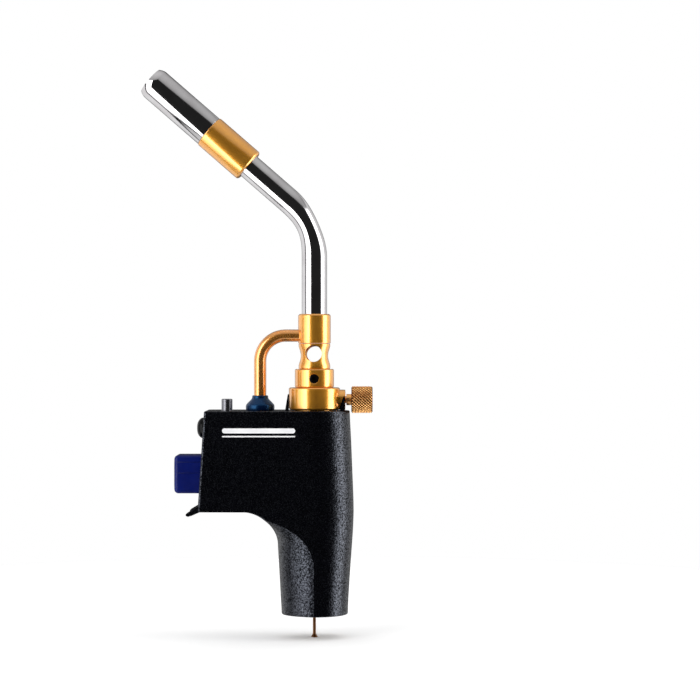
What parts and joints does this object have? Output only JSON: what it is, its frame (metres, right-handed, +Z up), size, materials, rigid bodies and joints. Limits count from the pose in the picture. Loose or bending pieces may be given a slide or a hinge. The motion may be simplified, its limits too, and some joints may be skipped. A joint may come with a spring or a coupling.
{
  "type": "trigger start propane torch head",
  "caption": "Hand torch head for a screw-on propane cylinder: moulded pistol housing with trigger igniter, brass gas valve and venturi, and a bent steel burner tube.",
  "frame": {"origin": "centre of the handle's lower rim, on the axis of the gas cylinder that screws in from below", "axes": "+Z up along the cylinder's axis, -X towards the nozzle and trigger, Y across the housing; left half at -Y"},
  "size_m": [0.1202, 0.0356, 0.2948],
  "materials": {
    "housing_plastic": "glass-filled nylon, fine spark-eroded grain",
    "button_plastic": "smooth moulded",
    "trigger_plastic": "satin moulded, deep blue",
    "boot_rubber": "smooth moulded, dark blue",
    "steel_parts": "polished stainless tube",
    "pin_chrome": "polished",
    "screw_steel": "zinc plated",
    "brass_parts": "turned, bright",
    "knob_brass": "diamond knurled",
    "lead_tube_brass": "drawn, bright",
    "pin_brass": "turned, dull",
    "grub_steel": "blackened steel",
    "spring_steel": "bright",
    "aluminium_parts": "die cast",
    "copper_tube": "drawn copper",
    "seal_rubber": "nitrile, matt",
    "piezo_plastic": "moulded, off-white",
    "lead_silicone": "silicone insulation",
    "filter_bronze": "sintered bronze",
    "electrode_ceramic": "unglazed alumina"
  },
  "bodies": {
    "root": {"burn_tube": "steel_parts", "burner_socket": "brass_parts", "button_spring": "spring_steel", "depressor_pin": "pin_brass", "diaphragm_plate": "aluminium_parts", "earth_strip": "brass_parts", "electrode_insulator": "electrode_ceramic", "flame_holder": "brass_parts", "flame_tube": "steel_parts", "gas_jet": "brass_parts", "gland_nut": "brass_parts", "grub_screw": "grub_steel", "housing_left": "housing_plastic", "housing_right": "housing_plastic", "housing_screw_1": "screw_steel", "housing_screw_2": "screw_steel", "housing_screw_3": "screw_steel", "housing_screw_4": "screw_steel", "ignition_lead": "lead_silicone", "inlet_filter": "filter_bronze", "inlet_fitting": "brass_parts", "inlet_seal": "seal_rubber", "latch_bracket": "housing_plastic", "lead_tube": "lead_tube_brass", "lever_pin": "spring_steel", "lock_pin_spring": "spring_steel", "mixing_collar": "brass_parts", "needle_seal": "seal_rubber", "nozzle_ferrule": "brass_parts", "outlet_tube": "copper_tube", "piezo_igniter": "piezo_plastic", "regulator_body": "aluminium_parts", "regulator_cap": "brass_parts", "regulator_diaphragm": "seal_rubber", "regulator_poppet": "brass_parts", "regulator_spring": "spring_steel", "spark_electrode": "spring_steel", "stem_seal": "seal_rubber", "trigger_spring": "spring_steel", "tube_boot": "boot_rubber", "valve_body": "brass_parts", "valve_spring": "spring_steel", "venturi_body": "brass_parts"},
    "trigger": {"trigger": "trigger_plastic", "piezo_plunger": "piezo_plastic"},
    "valve_lever": {"valve_lever": "spring_steel"},
    "valve_stem": {"valve_stem": "brass_parts"},
    "safety_button": {"safety_button": "button_plastic"},
    "run_lock_pin": {"run_lock_pin": "pin_chrome"},
    "flame_needle": {"flame_needle": "brass_parts"},
    "flame_knob": {"flame_knob": "knob_brass"}
  },
  "joints": [
    {"name": "trigger_slide", "type": "slide", "parent": "root", "child": "trigger", "axis": [1, 0, 0], "range_m": [0, 0.008], "stiffness_N_per_m": 800, "springref_m": -0.008, "deforming": ["trigger_spring"]},
    {"name": "valve_lever_hinge", "type": "hinge", "parent": "root", "child": "valve_lever", "pos_m": [-0.0232, 0, 0.095], "axis": [0, -1, 0], "range_deg": [0, 23]},
    {"name": "valve_stem_slide", "type": "slide", "parent": "root", "child": "valve_stem", "axis": [1, 0, 0], "range_m": [0, 0.0033], "stiffness_N_per_m": 300, "springref_m": -0.002, "deforming": ["valve_spring"]},
    {"name": "safety_button_slide", "type": "slide", "parent": "root", "child": "safety_button", "axis": [1, 0, 0], "range_m": [0, 0.0015], "stiffness_N_per_m": 600, "springref_m": -0.002, "deforming": ["button_spring"]},
    {"name": "run_lock_slide", "type": "slide", "parent": "root", "child": "run_lock_pin", "axis": [0, 0, -1], "range_m": [0, 0.0038], "stiffness_N_per_m": 500, "springref_m": -0.002, "deforming": ["lock_pin_spring"]},
    {"name": "needle_feed", "type": "slide", "parent": "root", "child": "flame_needle", "axis": [1, 0, 0], "range_m": [0, 0.0005625]},
    {"name": "flame_knob_turn", "type": "hinge", "parent": "flame_needle", "child": "flame_knob", "pos_m": [0.0247, 0, 0.1112], "axis": [1, 0, 0], "range_deg": [0, 270]}
  ],
  "couplings": [
    {"joint": "valve_lever_hinge", "follows": "trigger_slide", "rad_per_m": 50},
    {"joint": "valve_stem_slide", "follows": "trigger_slide", "ratio": 0.4},
    {"joint": "flame_knob_turn", "follows": "needle_feed", "rad_per_m": 8377.5}
  ]
}
